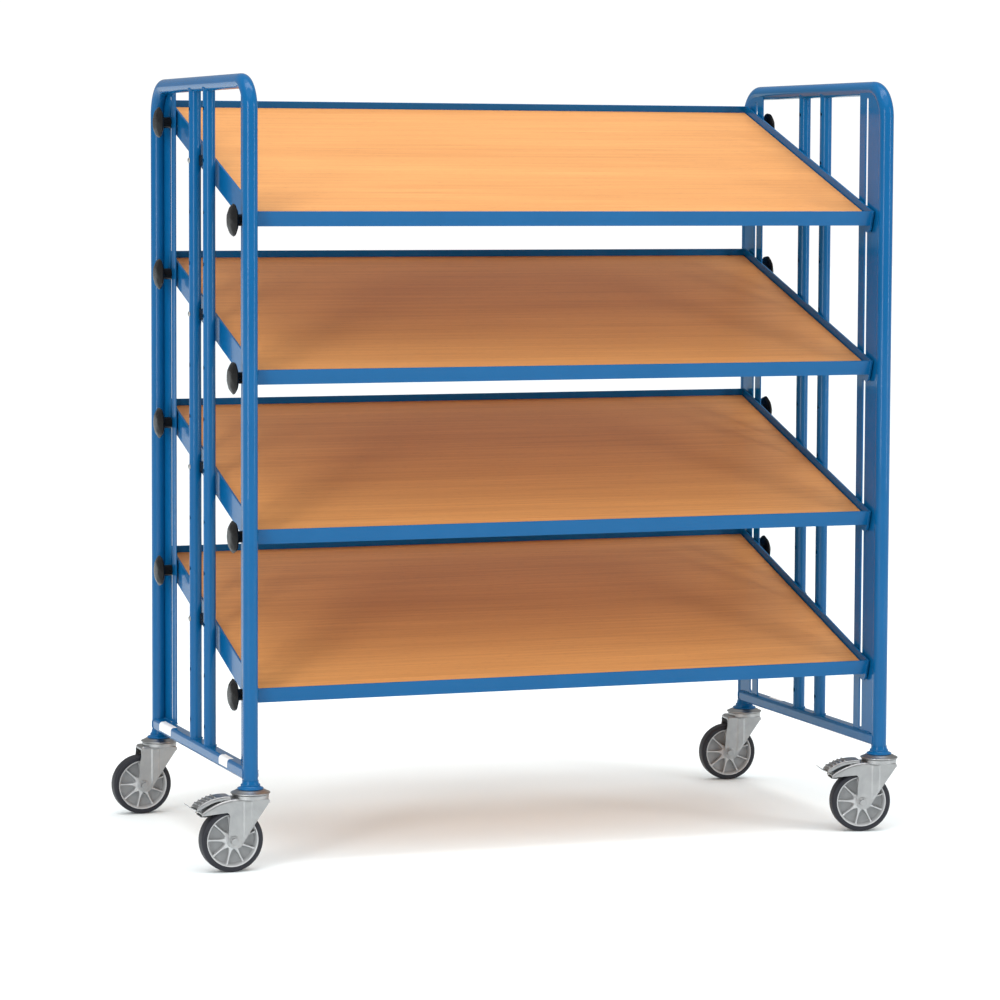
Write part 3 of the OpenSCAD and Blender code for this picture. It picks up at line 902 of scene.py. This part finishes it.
# %% Labels
def label(bm, x, outward, near, far):
    """A film over the outer top edge of a bottom rail, from near to far along Y."""
    centre_z = (RAIL_TOP + RAIL_LOW) / 2
    tall, corner = (RAIL_TOP - RAIL_LOW) / 2, RAIL_CORNER
    path = [(TUBE_R, -5 * MM)]
    for step in range(9):
        angle = math.pi / 2 * step / 8
        path.append((TUBE_R - corner + corner * math.cos(angle),
                     tall - corner + corner * math.sin(angle)))
    path.append((1 * MM, tall))
    middle_of_arc = Vector((TUBE_R - corner, tall - corner))
    skins = []
    for lift in (0.05 * MM, 0.22 * MM):
        skin = []
        for px, pz in path:
            out = Vector((max(px - middle_of_arc.x, 0), max(pz - middle_of_arc.y, 0)))
            out = out.normalized() if out.length else Vector((1, 0))
            skin.append((px + lift * out.x, pz + lift * out.y))
        skins.append(skin)
    section = skins[0] + skins[1][::-1]
    loft(bm, [[(x + outward * px, y, centre_z + pz) for px, pz in section]
              for y in (near, far)])


bm = bmesh.new()
label(bm, FRAME_X["left"], -1, 196 * MM, 288 * MM)
label(bm, FRAME_X["left"], -1, -232 * MM, -172 * MM)
label(bm, FRAME_X["right"], 1, 150 * MM, 212 * MM)
piece("rail_labels", bm, LABEL, "frames")
print("labels made")

# %% [markdown]
# ## Casters: swivel heads and collars
# Each post ends in a flared collar that sits on a caster's swivel head. Both are turned
# shapes, so both are lathed. The head is a shallow pressed dome with a rolled lip, and the
# collar flares out of the post with a fillet. Each profile is written once and turned at the
# four swivel axes.

# %% Caster places
CORNERS = [(side, end) for side in ("left", "right") for end in ("front", "rear")]


def swivel_place(side, end):
    """The floor point under a caster's swivel axis, as a matrix."""
    x, y, _ = joint(f"caster_{side}_{end}_swivel")["pos_m"]
    return Matrix.Translation((x, y, 0))


def axle_place(side, end):
    """A frame on the axle: X towards the swivel axis, Y up, Z out of one side of the wheel."""
    swivel = Vector(joint(f"caster_{side}_{end}_swivel")["pos_m"])
    axle = Vector(joint(f"wheel_{side}_{end}_roll")["pos_m"])
    ahead = Vector((swivel.x - axle.x, swivel.y - axle.y, 0)).normalized()
    up = Vector((0, 0, 1))
    place = Matrix((ahead, up, ahead.cross(up))).transposed().to_4x4()
    place.translation = axle
    return place


HEAD = mm([(0, 131), (8.2, 131), (9, 131.8), (9, 138.5), (5, 138.6), (5, 152), (37.6, 152),
           (38.6, 152.3), (39, 153.2), (38.7, 154.2), (37.6, 154.9), (36, 155.2), (34, 156.0),
           (31.5, 157.5), (29, 159), (27, 159.8), (25, 160), (6, 160.0), (6, 199), (5, 200),
           (0, 200)])
COLLAR = mm([(6.1, 160.1), (24.9, 160.1), (25.7, 160.8), (25.7, 162.6), (25, 163.4),
             (22.2, 164.2), (20, 165.6), (18.4, 167.6), (17.3, 170), (16.6, 173), (16.2, 177),
             (15.1, 177), (15.1, 163.2), (6.1, 163.2)])
bm = bmesh.new()
for corner in CORNERS:
    lathe(bm, HEAD, 72, swivel_place(*corner))
piece("swivel_heads", bm, ZINC, "frames", ["caster_heads"], sharp=50)
bm = bmesh.new()
for corner in CORNERS:
    lathe(bm, COLLAR, 64, swivel_place(*corner), closed=True)
piece("post_collars", bm, BLUE, "frames", ["caster_sockets"], sharp=50)
print("axles at", [tuple(round(v, 3) for v in axle_place(*c).translation) for c in CORNERS])

# %% [markdown]
# ## Casters: forks
# A fork is pressed from one sheet: two cheeks hang from a crown whose edges are rolled over.
# The crown with its rolled edges is a channel, a bent strip whose height changes along the
# caster, so it is lofted. The cheeks below it are flat outlines with true arcs, cut to a
# thickness, and a soft raised band stiffens each one. On the braked forks the channel runs on
# forward as an arm over the wheel.

# %% Channel
def channel(bm, place, stations, half, corner, wall, steps=6):
    """Lofts an upturned U along X; a station is (x, top, bottom)."""
    rings = []
    for x, top, bottom in stations:
        bottom = min(bottom, top - corner - 0.1 * MM)
        skins = []
        for inset in (0, wall):
            skin = [(-half + inset, bottom)]
            for side, first in ((-1, math.pi), (1, math.pi / 2)):
                for step in range(steps + 1):
                    angle = first - math.pi / 2 * step / steps
                    skin.append((side * (half - corner) + (corner - inset) * math.cos(angle),
                                 top - corner + (corner - inset) * math.sin(angle)))
            skin.append((half - inset, bottom))
            skins.append(skin)
        rings.append([place @ Vector((x, y, z)) for z, y in skins[0] + skins[1][::-1]])
    loft(bm, rings)


def raised_band(bm, place, face, left, right, low, high, height=1.7 * MM, rows=16):
    """A soft raised band up a cheek's outer face, which fades out at its lower end."""
    flank, columns = 4.2 * MM, 16
    rings = []
    for i in range(rows + 1):
        y = low + (high - low) * i / rows
        end = min(right, cheek_edge(y) - 1.4 * MM)
        fade = min(1, 0.05 + (y - low) / (6 * MM))
        skin = []
        for j in range(columns + 1):
            x = left + (end - left) * j / columns
            rise = max(0, min(1, (x - left) / flank, (end - x) / flank))
            lift = height * fade * (3 * rise ** 2 - 2 * rise ** 3)
            skin.append((x, 25 * MM + lift))
        skin += [(end, 23.5 * MM), (left, 23.5 * MM)]
        rings.append([place @ Vector((x, y, face * z)) for x, z in skin])
    loft(bm, rings)


CHEEK = [(-12.5, -13.5, 12.5), (13, -14, 12.5), (22, 1, 16), (50, 43, 60), (71, 73, 10),
         (71, 79, 2), (-4, 79, 2), (-6, 62, 30), (-9.5, 42, 40)]
CROWN = [(0, 83, 46), (8, 83.4, 45), (40, 83.4, 46), (58, 83.2, 58), (67, 82.4, 69),
         (71, 80.6, 73), (72.6, 78, 73)]
PLAIN_FRONT = [(-5.5, 77.5, 68), (-4.4, 80.5, 60), (-2.5, 82.3, 52)]
ARM = [(-64.5, 57.8, 53.6), (-63, 59.6, 52.9), (-57, 63.6, 53.2), (-49, 68, 54), (-37, 74, 55.2),
       (-24, 79, 56.3), (-13, 81.6, 57), (-9.5, 82.2, 54), (-8, 82.5, 49), (-4, 82.8, 46)]
RACE = mm([(30, 80), (35.2, 80), (36.3, 81.2), (36.3, 87.6), (35.4, 88.9), (30, 88.9)])


def cheek_edge(y):
    """X of the cheek's sloping rear edge at a height above the axle."""
    points = mm([(14, -8), (23, 2), (50, 43), (71, 74), (71, 90)])
    for (x0, y0), (x1, y1) in zip(points, points[1:]):
        if y0 <= y <= y1:
            return x0 + (x1 - x0) * (y - y0) / (y1 - y0)
    return points[0][0]


def fork(bm, place, braked):
    """One pressed fork about its axle place."""
    front = ARM if braked else PLAIN_FRONT
    channel(bm, place, mm(front + CROWN), 25 * MM, 6 * MM, 2.5 * MM)
    cheek = rounded(mm(CHEEK))
    for face in (-1, 1):
        low, high = sorted((face * 22.6 * MM, face * 24.96 * MM))
        prism(bm, cheek, low, high, place)
        lathe(bm, mm([(0, 0), (11.6, 0), (11.6, 0.5), (10.2, 1.1), (0, 1.1)]), 40,
              place @ Matrix.Translation((0, 0, face * 24.9 * MM))
              @ Matrix.Rotation(0 if face > 0 else math.pi, 4, "X"))
        left, right, low = (18, 38, 6) if braked else (15, 35, 4)
        raised_band(bm, place, face, left * MM, right * MM, low * MM, 77 * MM)
    swivel = place @ Matrix.Translation((40 * MM, 0, 0)) @ Matrix.Rotation(-math.pi / 2, 4, "X")
    lathe(bm, RACE, 64, swivel, closed=True)


for side, end in CORNERS:
    node = f"fork_{side}_{end}"
    bm = bmesh.new()
    fork(bm, axle_place(side, end), end == "front")
    piece(node + "_pressed", bm, ZINC, body_of(node), [node], 0.5 * MM, 32)
print("forks made")

# %% [markdown]
# ## Wheels: rims, tyres and axle bolts
# The rim is a casting: a hub, a thin web, an outer ring, and nine ribs on each face that
# widen towards the hub. Hub, web and ring are one lathed profile. The ribs repeat around the
# axle, so one rib is modelled and a node tree deals it round the circle. Vertices low down on
# the web carry a weight that the finish reads as painted shade and a rougher matt.

# %% Rib tree
def spread_tree():
    """Deals copies of one part evenly round the Z axis."""
    tree, given, result, add = node_tree("dealt round", {
        "Count": "Int", "Start": "Float", "Material": "Material"})
    ring_points = add("MeshCircle", Vertices=given.outputs["Count"], Radius=0.001)
    points = add("MeshToPoints", Mesh=ring_points.outputs[0])
    centre = add("SetPosition", Geometry=points.outputs[0], Position=(0, 0, 0))
    index = add("InputIndex")
    step = tree.nodes.new("ShaderNodeMath")
    step.operation = "DIVIDE"
    step.inputs[0].default_value = math.tau
    tree.links.new(given.outputs["Count"], step.inputs[1])
    angle = tree.nodes.new("ShaderNodeMath")
    angle.operation = "MULTIPLY_ADD"
    tree.links.new(index.outputs[0], angle.inputs[0])
    tree.links.new(step.outputs[0], angle.inputs[1])
    tree.links.new(given.outputs["Start"], angle.inputs[2])
    turn = tree.nodes.new("ShaderNodeCombineXYZ")
    tree.links.new(angle.outputs[0], turn.inputs[2])
    dealt = add("InstanceOnPoints", Points=centre.outputs[0],
                Instance=given.outputs["Geometry"], Rotation=turn.outputs[0])
    real = add("RealizeInstances", Geometry=dealt.outputs[0])
    finish = add("SetMaterial", Geometry=real.outputs[0], Material=given.outputs["Material"])
    tree.links.new(finish.outputs[0], result.inputs[0])
    return tree


DEAL_TREE = spread_tree()
RIM_R = 52 * MM


def rib_mesh():
    """One rib on each face of the web: wide at the hub, narrow in the middle, sloping out."""
    bm = bmesh.new()
    sections = mm([(13, 5.8, 15), (16.5, 3.8, 14.4), (21, 2.2, 13.4), (28, 1.4, 12.2),
                   (40, 1.2, 11.2), (45, 1.7, 10.9), (48.8, 2.8, 10.8)])
    for face in (-1, 1):
        rings = []
        for out, half, top in sections:
            root = half + 0.9 * MM
            profile = [(-root, 1.5 * MM), (root, 1.5 * MM), (half, top - 0.6 * MM),
                       (half - 0.6 * MM, top), (0.6 * MM - half, top), (-half, top - 0.6 * MM)]
            rings.append([(out, y, face * z) for y, z in profile])
        loft(bm, rings)
    bmesh.ops.recalc_face_normals(bm, faces=bm.faces)
    mesh = bpy.data.meshes.new("rim rib")
    bm.to_mesh(mesh)
    bm.free()
    return mesh


ribs = grown("rib_ring", rib_mesh(), DEAL_TREE, {"Count": 9, "Start": math.radians(18)}, RIM)
print("ribs:", len(ribs.data.polygons), "faces")

# %% Rims
def arc(centre, radius, first, last, steps):
    """Points (radius, height) along an arc, for a lathe profile; angles in degrees."""
    return [(centre[0] + radius * math.cos(math.radians(first + (last - first) * i / steps)),
             centre[1] + radius * math.sin(math.radians(first + (last - first) * i / steps)))
            for i in range(steps + 1)]


RIM_FACE = mm([(4.1, 20.8), (10.4, 20.8), (11.6, 19.8), (12.2, 17), (13.6, 15.2), (15.6, 14.6),
               (16.6, 13.8), (17.2, 6), (18.6, 3.4), (21, 2.6), (43.4, 2.6), (45.4, 3.4),
               (46.8, 5.6), (48.6, 12.2), (49.3, 13.8), (49.9, 14.6), (50.7, 15.2), (52, 15.2)])
for side, end in CORNERS:
    node = f"rim_{side}_{end}"
    place = axle_place(side, end)
    bm = bmesh.new()
    mirrored = [(out, -height) for out, height in RIM_FACE[::-1]]
    lathe(bm, RIM_FACE + mirrored, 90, closed=True)
    bm.from_mesh(ribs.data)
    # Painted shade: vertices low on the web, between hub and ring, get a weight from 0 to 1. It
    # darkens the rim's grey there and roughens it.
    layer = bm.verts.layers.float.new("recess")
    for vertex in bm.verts:
        height, out = abs(vertex.co.z), math.hypot(vertex.co.x, vertex.co.y)
        inside = 17 * MM < out < 49 * MM
        vertex[layer] = min(1, max(0, 1 - (height - 3 * MM) / (7 * MM))) if inside else 0.0
    bmesh.ops.transform(bm, matrix=place, verts=bm.verts)
    piece(node + "_cast", bm, RIM, body_of(node), [node], sharp=34)
bpy.data.objects.remove(ribs)
print("rims made")

# %% [markdown]
# The tyre is a plain solid ring with rounded shoulders, bonded to the rim. One moulding line
# runs round the tread. The axle bolt has a chamfered hexagon and a washer on both sides.

# %% Tyres
def tyre_profile(inner, outer, half, shoulder):
    """A ring's section with rounded shoulders and a slight crown."""
    crown = 0.35 * MM
    return ([(inner, -half + 0.4 * MM), (inner + 0.8 * MM, -half)]
            + arc((outer - crown - shoulder, -half + shoulder), shoulder, -90, -8, 8)
            + [(outer - 0.1 * MM, -4 * MM), (outer, -0.5 * MM), (outer, 0.5 * MM),
               (outer - 0.1 * MM, 4 * MM)]
            + arc((outer - crown - shoulder, half - shoulder), shoulder, 8, 90, 8)
            + [(inner + 0.8 * MM, half), (inner, half - 0.4 * MM)])


for side, end in CORNERS:
    node = f"tyre_{side}_{end}"
    bm = bmesh.new()
    lathe(bm, tyre_profile(RIM_R, 62.5 * MM, 16 * MM, 5 * MM), 128, axle_place(side, end), True)
    piece(node + "_moulded", bm, TYRE, body_of(node), [node], sharp=40)
print("tyres made")

# %% Axle bolts
def hex_head(bm, place, reach, height):
    """A hexagon with a chamfered top; reach is from the axis to a corner."""
    rings = []
    for share, level in ((1, 0), (1, 0.72), (0.86, 1), (0.55, 1)):
        loop = []
        for i in range(36):
            angle = math.tau * i / 36
            flat = math.cos(math.pi / 6) / math.cos(angle % (math.pi / 3) - math.pi / 6)
            out = reach * min(flat, share)
            loop.append(place @ Vector((out * math.cos(angle), out * math.sin(angle),
                                        height * level)))
        rings.append(loop)
    loft(bm, rings)


for side, end in CORNERS:
    node = f"axle_{side}_{end}"
    place = axle_place(side, end)
    bm = bmesh.new()
    lathe(bm, mm([(0, -27), (4, -27), (4, 27), (0, 27)]), 32, place)
    for face in (0, 1):
        out = place @ Matrix.Rotation(math.pi * face, 4, "X")
        lathe(bm, mm([(0, 25.9), (8.3, 25.9), (8.6, 26.2), (8.6, 27.2), (8.3, 27.5), (0, 27.5)]),
              40, out)
        hex_head(bm, out @ Matrix.Translation((0, 0, 27.4 * MM))
                 @ Matrix.Rotation(0.3 + face, 4, "Z"), 7.4 * MM, 3.4 * MM)
    piece(node + "_bolt", bm, ZINC, body_of(node), [node], sharp=30)
print("axle bolts made")

# %% [markdown]
# ## Brakes: pedals and shoes
# The front casters have a total lock: a toe pedal over the wheel presses a shoe on the tyre
# and locks the swivel at once. The pedal is a bent strip with rolled sides, five ribs for
# grip, and a thin release tongue in front that curls up. It is the same upturned channel as
# the fork's arm, with the ribs laid across it.
#
# The last small parts are made in the same cell: the domed ends of the pivot brackets' pins,
# which show outside the rear middle tubes, and the clamp bolts with a slight bevel.

# %% Pedals
PEDAL = [(-73.5, 67.8, 64), (-71.5, 70.6, 63.5), (-64, 75.2, 66), (-55, 79.8, 71),
         (-45, 84, 75.5), (-34, 86.8, 79), (-22, 88.4, 81), (-12, 88.8, 82), (-5.5, 88.2, 82.4)]
TONGUE = [(-56, 62.5), (-64, 62.3), (-72, 63.6), (-79, 66.2), (-85, 69.6), (-90, 73.6)]
TONGUE_HALF = 0.9
RIBS = [(-68, 73.0), (-60.5, 77.2), (-53, 80.8), (-45, 84.0), (-36.5, 86.2)]


def pedal(bm, place):
    """The toe pedal with its ribs and release tongue, about the axle place."""
    channel(bm, place, mm(PEDAL), 21 * MM, 3.5 * MM, 1.8 * MM, 4)
    for x, top in mm(RIBS):
        section = [(x + 1.9 * MM * math.cos(a), top + 2.4 * MM * math.sin(a))
                   for a in (math.tau * i / 16 for i in range(16))]
        prism(bm, section, -17 * MM, 17 * MM, place)
    upper = [(x, y + TONGUE_HALF) for x, y in TONGUE]
    lower = [(x, y - TONGUE_HALF) for x, y in TONGUE[::-1]]
    prism(bm, mm(upper + lower), -13 * MM, 13 * MM, place)
    pivot = place @ Matrix.Translation((-20 * MM, 82 * MM, 0))
    lathe(bm, mm([(3.1, -19.6), (5.6, -19.6), (5.6, 19.6), (3.1, 19.6)]), 28, pivot, True)


def shoe(bm, place):
    """The rubber shoe under the tip of a brake arm."""
    outline = rounded(mm([(-66, 53.4, 1.5), (-64.5, 49.6, 1.5), (-55, 48.6, 3), (-43.5, 50.2, 1.5),
                          (-42, 54.5, 1.5), (-50, 53.2, 2)]))
    prism(bm, outline, -15 * MM, 15 * MM, place)


for side in ("left", "right"):
    node = f"pedal_{side}_front"
    place = axle_place(side, "front")
    bm = bmesh.new()
    pedal(bm, place)
    piece(node + "_pressed", bm, ZINC, body_of(node), [node], 0.4 * MM, 32)
    bm = bmesh.new()
    shoe(bm, place)
    piece(f"brake_shoe_{side}", bm, BLACK, f"caster_{side}_front",
          soften=0.5 * MM)
bm = bmesh.new()
for side, x in FRAME_X.items():
    out = -1 if side == "left" else 1
    for k in SHELVES:
        z = joint(f"shelf_{k}_tilt")["pos_m"][2]
        place = (Matrix.Translation((x + out * (MID_R - 0.3 * MM), MID_Y, z))
                 @ Matrix.Rotation(out * math.pi / 2, 4, "Y"))
        lathe(bm, mm([(0, 0), (5.6, 0), (5.5, 0.8), (4.9, 1.7), (3.7, 2.5), (2, 2.9), (0, 3)]),
              28, place)
piece("bracket_pin_heads", bm, ZINC, "frames")
for k in SHELVES:
    for end in ("front", "rear"):
        softened_copy(f"clamp_bolts_{k}_{end}", ZINC, 0.3 * MM)
